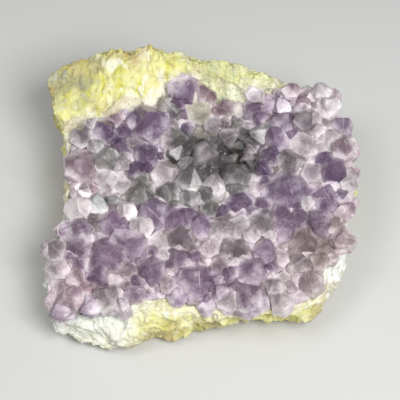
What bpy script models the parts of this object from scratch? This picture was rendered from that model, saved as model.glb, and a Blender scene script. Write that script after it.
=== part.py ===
"""Amethyst cluster: a crust of grown-together quartz points on a wedge of yellow-green host rock.

Metres, +Z up. +X is the specimen's right and -Y its front, the low side of the crystal face.
The origin is the middle of the underside of the specimen's box.
The plan is drawn in millimetres about the middle of the crystal face, and is moved to the origin last.
"""

import math
import random
from collections import namedtuple

import bmesh
import bpy
import numpy as np
from mathutils import Matrix, Vector, noise
from mathutils.bvhtree import BVHTree

MM = 0.001
FIT_GAP = 0.3  # clearance between rock and crust, in millimetres

# The face that the crust grew on: a slope up to the back, with a pit, a dome in the pit and a valley.
FACE_HEIGHT = 36.0
FACE_SLOPE = math.tan(math.radians(9.5))
PIT_MIDDLE = Vector((7.0, 34.0))
PIT_HALF_SIZE = Vector((27.0, 19.0))
PIT_DEPTH = 17.0
DOME_MIDDLE = Vector((2.0, 33.0))
DOME_RADIUS = 11.0
DOME_HEIGHT = 8.0
VALLEY_START = Vector((-70.0, 4.0))
VALLEY_END = Vector((-14.0, 10.0))
VALLEY_HALF_WIDTH = 8.0
VALLEY_DEPTH = 4.0

# Outline of the crystals in plan, anticlockwise from the right.
CRYSTAL_OUTLINE = [
    (85, 3), (86, 23), (83, 37), (80, 52), (74, 64), (62, 66), (49, 66), (36, 63), (23, 59), (13, 59),
    (3, 64), (-5, 67), (-14, 64), (-24, 58), (-39, 57), (-47, 50), (-59, 47), (-68, 43), (-74, 34),
    (-75, 20), (-74, 10), (-73, 2), (-74, -5), (-77, -19), (-84, -28), (-85, -40), (-82, -53),
    (-83, -59), (-77, -68), (-65, -65), (-51, -59), (-32, -58), (-16, -57), (-3, -61), (7, -63),
    (18, -66), (27, -63), (33, -59), (44, -61), (53, -60), (61, -56), (66, -47), (69, -38), (75, -33),
    (79, -25), (81, -11),
]
CRYSTAL_OVERHANG = 4.0  # the points lean out past the crust that they grow from
CRUST_THICKNESS = 4.5
CRUST_EDGE_THICKNESS = 1.5
CRUST_ROOT = 1.5  # how far the crust is drawn into the rock before the rock is cut out of it

# The rock's upper edge: x, y, and its rise over the slope of the face.
ROCK_RIM = [
    (80, 0, -2), (78, 25, -2), (72, 50, -2), (58, 63, 1), (42, 67, 11), (34, 71, 12), (23, 75, 12.5),
    (10, 78, 12.5), (-3, 78, 13), (-12, 81, 13), (-20, 82, 11.5), (-30, 87.5, 10), (-36, 88, 9),
    (-47, 87, 8.5), (-58, 87.5, 7.5), (-65, 84, 6), (-75, 82, 4), (-85, 74, 2), (-86, 65, 2.5),
    (-82, 54, 4), (-78, 45, 4), (-74, 35, 1), (-72, 12, -2), (-73, -8, 0), (-79, -35, -2), (-78, -55, -2),
    (-72, -63, -2), (-62, -63, 2), (-50, -62, 3), (-32, -61, 3), (-15, -61, 2), (0, -61, 0), (18, -62, -2),
    (35, -59, 0), (48, -60, 0), (63, -56, 0), (70, -44, 0), (75, -33, 0),
]
RIM_MARGIN = 1.5  # least width of bare rock round the crust
SHOULDER_STEP = 3.0  # the bare shoulder stands this much over the face, where it is wide enough
SHOULDER_FULL_WIDTH = 14.0

# The rock's lower edge, a little above the flat underside.
ROCK_FOOT = [
    (73, 0), (71, 24), (66, 46), (52, 59), (31, 66), (4, 74), (-28, 84), (-51, 83), (-69, 78), (-77, 65),
    (-74, 43), (-69, 22), (-70, 0), (-74, -20), (-74, -42), (-72, -57), (-66, -65), (-59, -71),
    (-48, -75.5), (-36, -72), (-25, -69), (-15, -69), (-4, -64), (6, -57), (18, -56), (30, -53.5),
    (42, -56), (54, -58), (63, -53), (67, -46.5), (72, -35), (73, -20),
]
FOOT_HEIGHT = 5.0
FOOT_NOTCH_X = -42.0  # the front foot has a small arch here
FOOT_NOTCH_HALF_WIDTH = 4.0
FOOT_NOTCH_RISE = 6.0
UNDERSIDE_INSET = 8.0

# How finely the rock is drawn.
ROCK_BEARINGS = 120
ROCK_DETAIL = 0.36
CRUST_BEARINGS = 60
CRUST_DETAIL = 0.71
FACE_RINGS = (0.14, 0.28, 0.42, 0.55, 0.68, 0.8, 0.9, 1.0)
SHOULDER_RINGS = (0.16, 0.33, 0.5, 0.67, 0.84, 1.0)
SIDE_RINGS = 12
UNDERSIDE_RINGS = (1.0, 0.55)
SIDE_BULGE = 2.0
LUMP_HEIGHT = 4.6
LUMP_LENGTH = 19.0
CRUMB_HEIGHT = 1.5
CRUMB_LENGTH = 6.0
LEDGE_HEIGHT = 1.8
LEDGE_SPACING = 11.0

# The points that show best: plan place of the tip, and radius, back left first.
LARGE_POINTS = [
    (-64, 33, 7.1), (-48, 37, 6.5), (-29, 42, 11.3), (-7, 54, 8.3), (3, 47, 7.7), (5, 58, 6.5),
    (38, 37, 7.7), (47, 46, 7.1), (68, 53, 7.1), (71, 35, 7.1), (78, 27, 7.7), (57, 25, 7.7),
    (75, 57, 6.5), (64, 62, 6.0), (77, 43, 6.0), (51, 62, 5.5),
    (11, 37, 6.5), (6, 25, 7.1), (-64, 18, 9.5), (-52, 19, 6.5), (-32, 5, 7.1), (-19, 4, 6.5),
    (-15, 14, 7.1), (-4, 15, 7.1), (19, 11, 7.7), (22, -6, 7.1), (43, 1, 8.9), (50, 17, 7.1),
    (54, 2, 6.5), (65, 2, 6.5), (70, 11, 7.7), (-65, -5, 7.7), (-49, -16, 7.1), (-29, -8, 10.1),
    (-14, -17, 6.5), (-2, -16, 7.1), (15, -18, 7.1), (35, -15, 6.5), (48, -19, 6.5), (58, -18, 7.7),
    (74, -25, 6.5), (54, -29, 8.3), (-78, -29, 6.5), (-66, -31, 7.1), (-51, -33, 9.5), (-36, -32, 8.9),
    (-13, -33, 6.5), (-11, -24, 6.5), (31, -40, 8.3), (55, -48, 7.7), (-75, -43, 6.5), (-66, -53, 7.7),
    (-71, -59, 8.4), (-49, -56, 8.3), (-29, -45, 9.5), (-1, -45, 9.5), (14, -60, 6.5), (24, -53, 10.1),
]
SMALL_RADIUS = (3.4, 5.8)
SMALL_TRIES = 5000
CLOSENESS = 0.82  # roots stand this share of their two radii apart, so that neighbours grow together
TIP_BASE_HEIGHT = 8.5
TIP_RADIUS_SHARE = 0.5
TIP_JITTER = 1.2
SWAY = 0.20  # chance part of the way that a point grows, beside a unit length along the rock's facing
EDGE_LEAN = 0.5
MOST_LEAN = math.radians(60)
ROOT_DEPTH = 3.0
EDGE_MARGIN = 3.0  # roots stay this far inside the crust's edge
POINT_SEED = 11

# A quartz point: six prism faces under three large and three small end faces.
END_FACE_SLOPE = math.radians(51.8)
BODY_SHARE_AT_EDGE = 1.1  # the prism's radius for each unit of the point's, at the crust's edge and inside it
BODY_SHARE_INSIDE = 1.5
PRISM_UNEVENNESS = 0.12
SMALL_FACE_SETBACK = (0.0, 0.3)

Point = namedtuple("Point", "root axis height radius")


class Outline:
    """A closed outline round the plan's middle, read off by bearing: reach, and a third value if it has one."""

    def __init__(self, points):
        ordered = sorted(points, key=lambda point: math.atan2(point[1], point[0]))
        self.bearings = [math.atan2(point[1], point[0]) for point in ordered]
        self.reaches = [math.hypot(point[0], point[1]) for point in ordered]
        self.values = [point[2] if len(point) > 2 else 0.0 for point in ordered]

    def reach(self, bearing):
        return float(np.interp(bearing, self.bearings, self.reaches, period=math.tau))

    def value(self, bearing):
        return float(np.interp(bearing, self.bearings, self.values, period=math.tau))


CRYSTALS = Outline(CRYSTAL_OUTLINE)
RIM = Outline(ROCK_RIM)
FOOT = Outline(ROCK_FOOT)


def smooth_step(value, low, high):
    share = min(1.0, max(0.0, (value - low) / (high - low)))
    return share * share * (3 - 2 * share)


def crust_reach(bearing):
    return CRYSTALS.reach(bearing) - CRYSTAL_OVERHANG


def slope_height(y):
    return FACE_HEIGHT + FACE_SLOPE * y


def face_height(x, y):
    """Height of the rock under the crust."""
    place = Vector((x, y))
    from_pit = place - PIT_MIDDLE
    pit_share = math.hypot(from_pit.x / PIT_HALF_SIZE.x, from_pit.y / PIT_HALF_SIZE.y)
    pit = PIT_DEPTH * (1 - smooth_step(pit_share, 0.35, 1.2))
    dome = DOME_HEIGHT * math.exp(-((place - DOME_MIDDLE).length / DOME_RADIUS) ** 2)
    along = VALLEY_END - VALLEY_START
    share = min(1.0, max(0.0, (place - VALLEY_START).dot(along) / along.length_squared))
    from_valley = (place - VALLEY_START - along * share).length
    valley = VALLEY_DEPTH * math.exp(-((from_valley / VALLEY_HALF_WIDTH) ** 2))
    return slope_height(y) - pit + dome - valley


def at_bearing(bearing, reach, height):
    return Vector((reach * math.cos(bearing), reach * math.sin(bearing), height))


def lumps(place):
    """Signed height of the broken rock's lumps and crumbs at a place on it."""
    broad = noise.noise(place / LUMP_LENGTH)
    fine = noise.noise(place / CRUMB_LENGTH + Vector((7.3, 1.9, 4.1)))
    return LUMP_HEIGHT * broad + CRUMB_HEIGHT * fine


def ledges(place):
    """Signed depth of the wavering ledges that come and go round the rock's sides."""
    waver = noise.noise(Vector((place.x, place.y, 0)) / 30.0) * 1.5
    clearness = smooth_step(noise.noise(place / 24.0), -0.25, 0.35)
    return LEDGE_HEIGHT * clearness * math.sin(math.tau * (place.z / LEDGE_SPACING + waver))


def rock_column(bearing):
    """The rock's surface along one bearing, from beside the middle of the face to beside the underside's."""
    outward = at_bearing(bearing, 1.0, 0.0)
    edge = crust_reach(bearing)
    column = []
    for share in FACE_RINGS:
        flat = at_bearing(bearing, edge * share, 0.0)
        column.append(Vector((flat.x, flat.y, face_height(flat.x, flat.y))))

    rim_reach = max(RIM.reach(bearing), edge + RIM_MARGIN)
    rim_flat = at_bearing(bearing, rim_reach, 0.0)
    rim_height = slope_height(rim_flat.y) + RIM.value(bearing)
    step = SHOULDER_STEP * smooth_step(rim_reach - edge, 2 * RIM_MARGIN, SHOULDER_FULL_WIDTH)
    edge_height = column[-1].z + step
    for share in SHOULDER_RINGS:
        reach = edge + (rim_reach - edge) * share
        height = edge_height + (rim_height - edge_height) * smooth_step(share, 0.0, 1.0)
        height += step * 0.35 * math.sin(math.pi * share)
        place = at_bearing(bearing, reach, height)
        roughness = smooth_step(rim_reach - edge, 0.0, SHOULDER_FULL_WIDTH)
        column.append(place + Vector((0, 0, 1)) * lumps(place) * roughness)

    rim = column[-1]
    foot_reach = FOOT.reach(bearing)
    foot_flat = at_bearing(bearing, foot_reach, 0.0)
    foot_height = FOOT_HEIGHT + 2.5 * noise.noise(foot_flat / 11.0)
    if foot_flat.y < 0:
        from_notch = abs(foot_flat.x - FOOT_NOTCH_X) / FOOT_NOTCH_HALF_WIDTH
        foot_height += FOOT_NOTCH_RISE * (1 - smooth_step(from_notch, 0.3, 1.2))
    foot = at_bearing(bearing, foot_reach, foot_height)
    for ring in range(SIDE_RINGS):
        share = (ring + 1) / SIDE_RINGS
        place = rim.lerp(foot, share)
        place += outward * SIDE_BULGE * math.sin(math.pi * share)
        rough = lumps(place) + ledges(place)
        column.append(place + outward * rough * smooth_step(share, 0.0, 0.2))

    for share in UNDERSIDE_RINGS:
        column.append(at_bearing(bearing, (foot_reach - UNDERSIDE_INSET) * share, 0.0))
    return column


def mesh_of_columns(name, columns, top, bottom):
    """A closed, triangulated mesh from columns of points round the middle, closed by a point at each end."""
    shape = bmesh.new()
    rings = [[shape.verts.new(column[level] * MM) for column in columns] for level in range(len(columns[0]))]
    peak = shape.verts.new(top * MM)
    base = shape.verts.new(bottom * MM)
    count = len(columns)
    for step in range(count):
        after = (step + 1) % count
        shape.faces.new((peak, rings[0][step], rings[0][after]))
        shape.faces.new((base, rings[-1][after], rings[-1][step]))
        for inner, outer in zip(rings, rings[1:]):
            shape.faces.new((inner[step], outer[step], outer[after], inner[after]))
    bmesh.ops.triangulate(shape, faces=shape.faces[:])
    mesh = bpy.data.meshes.new(name)
    shape.to_mesh(mesh)
    shape.free()
    return mesh


def add_object(name, mesh, material=None):
    made = bpy.data.objects.new(name, mesh)
    bpy.context.scene.collection.objects.link(made)
    if material:
        mesh.materials.append(material)
    return made


def add_guide(name, mesh):
    """An object that only shapes others."""
    guide = add_object(name, mesh)
    guide.hide_render = True
    guide.display_type = "WIRE"
    return guide


def bearings(count):
    return [math.tau * step / count - math.pi for step in range(count)]


def rock_mesh():
    """The rock, drawn finely and then thinned to the faces that its shape needs."""
    columns = [rock_column(bearing) for bearing in bearings(ROCK_BEARINGS)]
    middle = Vector((0, 0, face_height(0, 0)))
    rough = add_guide("rough_rock", mesh_of_columns("rough_rock", columns, middle, Vector((0, 0, 0))))
    add_decimate(rough, ROCK_DETAIL)
    bpy.context.view_layer.update()
    return evaluated_mesh(rough, "matrix_rock")


def crust_column(bearing):
    """The crust's own section along one bearing: over its top, round its edge and back under it."""
    edge = crust_reach(bearing)
    top = []
    under = []
    for share in FACE_RINGS:
        flat = at_bearing(bearing, edge * share, 0.0)
        floor = face_height(flat.x, flat.y)
        thickness = CRUST_THICKNESS + (CRUST_EDGE_THICKNESS - CRUST_THICKNESS) * smooth_step(share, 0.8, 1.0)
        top.append(Vector((flat.x, flat.y, floor + thickness)))
        under.append(Vector((flat.x, flat.y, floor - CRUST_ROOT)))
    return top + under[::-1]


def crust_mesh():
    columns = [crust_column(bearing) for bearing in bearings(CRUST_BEARINGS)]
    floor = face_height(0, 0)
    top = Vector((0, 0, floor + CRUST_THICKNESS))
    return mesh_of_columns("crust_sheet", columns, top, Vector((0, 0, floor - CRUST_ROOT)))


def drop_onto(tree, flat):
    """Where a vertical line meets the rock, in millimetres, and which way the rock faces there."""
    place, facing, _, _ = tree.ray_cast(Vector((flat.x * MM, flat.y * MM, 1.0)), Vector((0, 0, -1)))
    return place / MM, facing


def edge_room(flat):
    """How far a plan place is inside the crust's edge."""
    return crust_reach(math.atan2(flat.y, flat.x)) - flat.length


def held_inside(flat):
    """The plan place, brought in towards the middle if it is past the roots' margin."""
    excess = max(0.0, EDGE_MARGIN - edge_room(flat))
    return flat * (1 - excess / max(flat.length, EDGE_MARGIN))


def point_height(radius, chance):
    return TIP_BASE_HEIGHT + TIP_RADIUS_SHARE * radius + chance.uniform(-TIP_JITTER, TIP_JITTER)


def sway(chance):
    return Vector((chance.gauss(0, SWAY), chance.gauss(0, SWAY), 0))


def large_points(tree, chance):
    """The listed points. Each grows about square to the rock, from a root that puts its tip in place."""
    points = []
    for x, y, radius in LARGE_POINTS:
        tip = Vector((x, y))
        height = point_height(radius, chance)
        _, facing = drop_onto(tree, held_inside(tip))
        wanted = (facing + sway(chance)).normalized()
        root, _ = drop_onto(tree, held_inside(tip - wanted.xy * height))
        lean = tip - root.xy
        most = height * math.sin(MOST_LEAN)
        if lean.length > most:
            lean *= most / lean.length
        rise = math.sqrt(height**2 - lean.length_squared)
        points.append(Point(root, Vector((lean.x, lean.y, rise)).normalized(), height, radius))
    return points


def fill_between(points, tree, chance):
    """Adds small points in the room that is left, by tries at random places. They lean out at the edge."""
    for _ in range(SMALL_TRIES):
        bearing = chance.uniform(-math.pi, math.pi)
        flat = held_inside(at_bearing(bearing, crust_reach(bearing) * math.sqrt(chance.random()), 0.0).xy)
        radius = chance.uniform(*SMALL_RADIUS)
        root, facing = drop_onto(tree, flat)
        if all((root - other.root).length > CLOSENESS * (radius + other.radius) for other in points):
            lean = at_bearing(bearing, EDGE_LEAN * (1 - smooth_step(edge_room(flat), EDGE_MARGIN, 12.0)), 0.0)
            axis = (facing + sway(chance) + lean).normalized()
            points.append(Point(root, axis, point_height(radius, chance), radius))


def cut_away(shape, place, facing):
    """Cuts off what lies past a plane, and closes the cut with one face."""
    geometry = shape.verts[:] + shape.edges[:] + shape.faces[:]
    cut = bmesh.ops.bisect_plane(
        shape, geom=geometry, dist=1e-9, plane_co=place, plane_no=facing, clear_outer=True
    )
    edges = [item for item in cut["geom_cut"] if isinstance(item, bmesh.types.BMEdge)]
    if len(edges) > 2:
        bmesh.ops.contextual_create(shape, geom=edges)


def quartz_point(point, chance):
    """One point, standing on the middle of its own root end, as a closed bmesh in metres."""
    inside = smooth_step(edge_room(point.root.xy), EDGE_MARGIN, 14.0)
    radius = point.radius * (BODY_SHARE_AT_EDGE + (BODY_SHARE_INSIDE - BODY_SHARE_AT_EDGE) * inside)
    length = point.height + ROOT_DEPTH
    setback = point.radius * chance.uniform(*SMALL_FACE_SETBACK)
    shape = bmesh.new()
    bmesh.ops.create_cube(shape, size=1.0)
    bmesh.ops.scale(shape, vec=Vector((4 * radius, 4 * radius, 4 * length)) * MM, verts=shape.verts[:])
    cut_away(shape, Vector((0, 0, 0)), Vector((0, 0, -1)))
    for side in range(6):
        turn = math.tau * side / 6
        outward = Vector((math.cos(turn), math.sin(turn), 0))
        reach = radius * math.cos(math.pi / 6) * (1 + chance.uniform(-PRISM_UNEVENNESS, PRISM_UNEVENNESS))
        cut_away(shape, outward * reach * MM, outward)
        facing = outward * math.sin(END_FACE_SLOPE) + Vector((0, 0, math.cos(END_FACE_SLOPE)))
        cut_away(shape, (Vector((0, 0, length)) + outward * setback * (side % 2)) * MM, facing)
    bmesh.ops.recalc_face_normals(shape, faces=shape.faces[:])
    return shape


def points_mesh(tree):
    """Every point of the crust in one mesh, each still its own closed shape."""
    chance = random.Random(POINT_SEED)
    points = large_points(tree, chance)
    fill_between(points, tree, chance)
    mesh = bpy.data.meshes.new("quartz_points")
    together = bmesh.new()
    for point in points:
        shape = quartz_point(point, chance)
        spin = Matrix.Rotation(chance.uniform(0, math.tau / 3), 4, "Z")
        stand = point.axis.to_track_quat("Z", "Y").to_matrix().to_4x4()
        place = Matrix.Translation((point.root - point.axis * ROOT_DEPTH) * MM)
        bmesh.ops.transform(shape, matrix=place @ stand @ spin, verts=shape.verts[:])
        shape.to_mesh(mesh)
        shape.free()
        together.from_mesh(mesh)
    together.to_mesh(mesh)
    together.free()
    return mesh


def add_boolean(target, operation, other, join_own_parts=False):
    modifier = target.modifiers.new(f"{operation.lower()} {other.name}", "BOOLEAN")
    modifier.operation = operation
    modifier.object = other
    modifier.use_self = join_own_parts


def add_decimate(target, share_kept):
    modifier = target.modifiers.new("fewer faces", "DECIMATE")
    modifier.ratio = share_kept
    modifier.use_collapse_triangulate = True


def evaluated_mesh(source, name):
    graph = bpy.context.evaluated_depsgraph_get()
    mesh = bpy.data.meshes.new_from_object(source.evaluated_get(graph))
    mesh.name = name
    return mesh


def largest_body(source, name):
    """The evaluated mesh of an object, without the chips that its cuts left loose."""
    mesh = evaluated_mesh(source, name)
    shape = bmesh.new()
    shape.from_mesh(mesh)
    left = set(shape.verts)
    bodies = []
    while left:
        body = set()
        edge_of_body = [left.pop()]
        while edge_of_body:
            vertex = edge_of_body.pop()
            body.add(vertex)
            neighbours = {edge.other_vert(vertex) for edge in vertex.link_edges} & left
            left -= neighbours
            edge_of_body.extend(neighbours)
        bodies.append(body)
    keep = max(bodies, key=len)
    bmesh.ops.delete(shape, geom=[v for v in shape.verts if v not in keep], context="VERTS")
    shape.to_mesh(mesh)
    shape.free()
    return mesh


def stone_material(name, colour, roughness):
    material = bpy.data.materials.new(name)
    material.use_nodes = True
    shader = material.node_tree.nodes["Principled BSDF"]
    shader.inputs["Base Color"].default_value = (*colour, 1.0)
    shader.inputs["Roughness"].default_value = roughness
    shader.inputs["Metallic"].default_value = 0.0
    return material


def add_rock():
    return add_object("matrix_rock", rock_mesh(), stone_material("host_rock", (0.72, 0.70, 0.42), 0.9))


def add_crust(rock):
    """The crust and its points as one solid, cut back from the rock by the fit gap."""
    rock_faces = bmesh.new()
    rock_faces.from_mesh(rock.data)
    tree = BVHTree.FromBMesh(rock_faces)
    rock_faces.free()

    swollen_rock = add_guide("swollen_rock", rock.data.copy())
    swell = swollen_rock.modifiers.new("fit gap", "DISPLACE")
    swell.direction = "NORMAL"
    swell.mid_level = 0.0
    swell.strength = FIT_GAP * MM

    points = add_guide("quartz_points", points_mesh(tree))
    sheet = add_guide("crust_sheet", crust_mesh())
    add_boolean(sheet, "UNION", points, join_own_parts=True)
    add_decimate(sheet, CRUST_DETAIL)
    add_boolean(sheet, "DIFFERENCE", swollen_rock)
    add_boolean(sheet, "DIFFERENCE", rock)  # clears the slivers where a sharp lip folds the swollen rock
    bpy.context.view_layer.update()
    mesh = largest_body(sheet, "amethyst_crust")
    return add_object("amethyst_crust", mesh, stone_material("amethyst", (0.52, 0.42, 0.60), 0.2))


def move_to_origin(objects):
    """Puts the middle of the underside of the objects' common box at the origin."""
    corners = np.array([vertex.co for made in objects for vertex in made.data.vertices])
    low, high = corners.min(axis=0), corners.max(axis=0)
    shift = Vector((-(low[0] + high[0]) / 2, -(low[1] + high[1]) / 2, -low[2]))
    for made in objects:
        made.data.transform(Matrix.Translation(shift))
    print(f"The plan's middle is at {shift.x / MM:.2f}, {shift.y / MM:.2f} mm")


def main():
    for old in list(bpy.data.objects):
        bpy.data.objects.remove(old)
    rock = add_rock()
    crust = add_crust(rock)
    move_to_origin([rock, crust])


main()
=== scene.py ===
"""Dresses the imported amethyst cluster: weathered host rock, a milky quartz bed and its amethyst points.

Metres, +Z up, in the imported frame. +X is the specimen's right and -Y its front, the low side.
"""

import math
import random

import bmesh
import bpy
import numpy as np
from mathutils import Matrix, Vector
from mathutils.bvhtree import BVHTree


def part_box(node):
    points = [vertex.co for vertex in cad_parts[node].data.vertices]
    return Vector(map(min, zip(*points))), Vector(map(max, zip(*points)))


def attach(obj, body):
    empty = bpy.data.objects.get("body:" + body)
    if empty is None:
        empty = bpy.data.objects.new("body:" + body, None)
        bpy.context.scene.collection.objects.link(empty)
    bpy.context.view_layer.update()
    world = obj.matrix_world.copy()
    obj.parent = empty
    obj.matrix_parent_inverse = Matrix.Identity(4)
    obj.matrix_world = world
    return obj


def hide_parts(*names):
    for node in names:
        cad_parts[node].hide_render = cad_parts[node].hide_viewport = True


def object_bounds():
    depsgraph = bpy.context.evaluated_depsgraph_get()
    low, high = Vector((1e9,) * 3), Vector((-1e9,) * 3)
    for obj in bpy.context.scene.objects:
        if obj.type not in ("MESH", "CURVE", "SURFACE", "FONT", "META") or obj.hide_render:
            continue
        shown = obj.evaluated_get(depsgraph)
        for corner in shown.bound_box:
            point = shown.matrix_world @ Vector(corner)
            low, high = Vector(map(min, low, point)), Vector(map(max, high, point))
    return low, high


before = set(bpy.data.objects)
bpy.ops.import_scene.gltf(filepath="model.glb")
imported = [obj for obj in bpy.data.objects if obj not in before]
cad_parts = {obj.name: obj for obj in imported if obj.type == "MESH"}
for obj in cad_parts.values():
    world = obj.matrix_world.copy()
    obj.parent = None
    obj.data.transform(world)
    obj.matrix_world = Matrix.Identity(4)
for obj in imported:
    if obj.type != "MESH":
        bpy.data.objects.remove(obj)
cad_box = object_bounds()


# The host rock is weathered lava from the wall of the gas pocket that the crystals lined. It is broken
# off roughly on every side: crumbly and yellow-green at the back, white and layered under the front.

MM = 0.001
JOIN_WITHIN = 0.001 * MM  # corners of the solids' loose triangles this near to each other are one
FINEST_EDGE = 1.0 * MM  # of the rock's mesh where the rock shows
SPLITS = 4  # times that longer edges are halved
SOFTENING = 3  # times that the halved corners are evened out
UNDERSIDE = 0.5 * MM  # what lies lower is the flat underside
UNDERSIDE_FADE = 4 * MM  # the weathering fades out down to the flat underside
UNDER_CRUST = 1.5 * MM  # a face with the crust this near over it is hidden
ROUGHNESS_OUT = 0.9 * MM  # how far the highest crumbs stand out of the solid's face
LUMP_DEPTH = 5.0 * MM
LUMP_SIZE = 15.0 * MM
LUMP_SHARPNESS = 3.0
CRUMB_DEPTH = 0.7 * MM
CRUMB_SIZE = 2.2 * MM
FIBRE_DEPTH = 2.2 * MM  # fibres run down towards the crystals
FIBRE_SIZE = 3.2 * MM
FIBRE_STRETCH = (1.0, 0.3, 0.5)
GRAIN_DEPTH = 0.7 * MM  # the grain is too fine for the mesh, and is only in the finish
GRAIN_SIZE = 0.9 * MM

BLEACHED_WIDTH = (2 * MM, 11 * MM)  # beside the crust the rock is bleached
STAIN_AND_SHADE_WIDTH = (17 * MM, 30 * MM)  # this far from the crust it is stained by the weather and has painted shade on the outer rim
PATCH_SIZE = 12 * MM
VEIN_SIZE = 6 * MM
SPECK_SIZE = 3 * MM
SCUFF_SIZE = 14 * MM
GREY_PATCH_SIZE = 20 * MM
RUST_SPOT_SIZE = 4.2 * MM
PORE_SIZE = 1.3 * MM

# Each region of the rock sets in along X and along Y, from the first place of each pair to the second.
FRONT_LEFT = ((-22 * MM, -45 * MM), (-40 * MM, -55 * MM))
RIGHT = ((55 * MM, 72 * MM), (10 * MM, -20 * MM))
LEFT = ((-66 * MM, -74 * MM), (30 * MM, 5 * MM))
BACK_LEFT = ((-52 * MM, -64 * MM), (42 * MM, 54 * MM))
BACK_RIGHT = ((-20 * MM, 5 * MM), (25 * MM, 45 * MM))
FRONT_REACH = (-50 * MM, -62 * MM)  # the front sets in along Y alone
FOOT_REACH = (24 * MM, 5 * MM)  # and the foot down Z

YELLOW_ROCK = (0.72, 0.70, 0.14)
LEMON_ROCK = (0.84, 0.82, 0.38)
CREAM_ROCK = (0.91, 0.86, 0.68)
WHITE_ROCK = (0.90, 0.92, 0.87)
GREEN_GREY_ROCK = (0.28, 0.29, 0.19)
TAN_ROCK = (0.52, 0.43, 0.20)
SAGE_ROCK = (0.58, 0.62, 0.40)
RUST_ROCK = (0.66, 0.42, 0.16)
# painted shade for the rock's furrows and pores
PAINTED_SHADE_OLIVE = (0.20, 0.17, 0.07)


class Wire:
    """A node's output in a tree. Sums of wires and numbers add Math nodes, and node() adds any other."""

    def __init__(self, tree, socket=None):
        self.tree = tree
        self.socket = socket

    def node(self, kind, settings=None, inputs=None, output=0):
        """Adds a node with these settings, then fills its sockets with values or wires. Gives one output."""
        made = self.tree.nodes.new(kind)
        for name, value in (settings or {}).items():
            setattr(made, name, value)
        for key, value in (inputs or {}).items():
            self.feed(made, key, value)
        if isinstance(output, str):
            found = [socket for socket in made.outputs if socket.enabled and socket.name == output]
            return Wire(self.tree, found[0])
        return Wire(self.tree, made.outputs[output]) if len(made.outputs) else None

    def feed(self, made, key, value):
        """Sets or links a node's input, by its number or its name."""
        if isinstance(key, int):
            socket = made.inputs[key]
        else:
            socket = [found for found in made.inputs if found.enabled and found.name == key][0]
        if isinstance(value, Wire):
            self.tree.links.new(value.socket, socket)
        elif socket.type == "RGBA" and len(value) == 3:
            socket.default_value = (*value, 1.0)
        else:
            socket.default_value = value

    def math(self, operation, first, second=0.0):
        return self.node("ShaderNodeMath", {"operation": operation}, {0: first, 1: second})

    def vector_math(self, operation, inputs, output=0):
        return self.node("ShaderNodeVectorMath", {"operation": operation}, inputs, output)

    def __add__(self, other):
        return self.math("ADD", self, other)

    def __radd__(self, other):
        return self.math("ADD", other, self)

    def __sub__(self, other):
        return self.math("SUBTRACT", self, other)

    def __rsub__(self, other):
        return self.math("SUBTRACT", other, self)

    def __mul__(self, other):
        return self.math("MULTIPLY", self, other)

    def __rmul__(self, other):
        return self.math("MULTIPLY", other, self)

    def step(self, low, high):
        """0 below low, 1 above high, and a smooth rise between."""
        settings = {"interpolation_type": "SMOOTHSTEP"}
        inputs = {"Value": self, "From Min": low, "From Max": high}
        return self.node("ShaderNodeMapRange", settings, inputs)

    def clamped(self):
        return self.node("ShaderNodeClamp", {}, {"Value": self})

    def times(self, share):
        """This vector scaled by a number."""
        return self.vector_math("SCALE", {0: self, "Scale": share})

    def stretched(self, vector):
        """This vector multiplied part by part."""
        return self.vector_math("MULTIPLY", {0: self, 1: vector})

    def part(self, axis):
        return self.node("ShaderNodeSeparateXYZ", {}, {0: self}, output=axis)

    def own(self, name, output="Fac"):
        """What the piece's own attribute of this name says at each place."""
        return self.node("ShaderNodeAttribute", {"attribute_name": name}, output=output)

    def noise(self, size, detail=3.0, roughness=0.55):
        """Noise from 0 to 1 at this place, with features of this size in metres."""
        inputs = {"Vector": self, "Scale": 1 / size, "Detail": detail, "Roughness": roughness}
        return self.node("ShaderNodeTexNoise", {}, inputs)

    def size(self):
        """This number without its sign."""
        return self.math("ABSOLUTE", self)

    def distance(self, place):
        return self.vector_math("DISTANCE", {0: self, 1: place}, output="Value")

    def shaken(self, reach, size):
        """This place moved about by up to half the reach, in swirls of this size."""
        inputs = {"Vector": self, "Scale": 1 / size, "Detail": 2.0}
        swirl = self.node("ShaderNodeTexNoise", {}, inputs, output="Color")
        centred = self.vector_math("SUBTRACT", {0: swirl, 1: (0.5, 0.5, 0.5)})
        return self.vector_math("ADD", {0: self, 1: centred.times(reach)})

    def mixed(self, first, second):
        """A colour, from the first to the second as this share goes from 0 to 1."""
        inputs = {"Factor": self, "A": first, "B": second}
        return self.node("ShaderNodeMix", {"data_type": "RGBA"}, inputs, output="Result")


def new_material(name):
    """A material with nothing in it yet, and a wire to add its nodes with."""
    material = bpy.data.materials.new(name)
    material.use_nodes = True
    material.node_tree.nodes.clear()
    return material, Wire(material.node_tree)


def new_growth(name, input_names):
    """A Geometry Nodes tree with named inputs, and its group input and a wire to add its nodes with."""
    tree = bpy.data.node_groups.new(name, "GeometryNodeTree")
    tree.interface.new_socket("Geometry", in_out="INPUT", socket_type="NodeSocketGeometry")
    tree.interface.new_socket("Geometry", in_out="OUTPUT", socket_type="NodeSocketGeometry")
    for input_name, kind in input_names.items():
        tree.interface.new_socket(input_name, in_out="INPUT", socket_type="NodeSocket" + kind)
    group_input = tree.nodes.new("NodeGroupInput")
    given = {socket.name: Wire(tree, socket) for socket in group_input.outputs if socket.name}
    return tree, given, Wire(tree)


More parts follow.
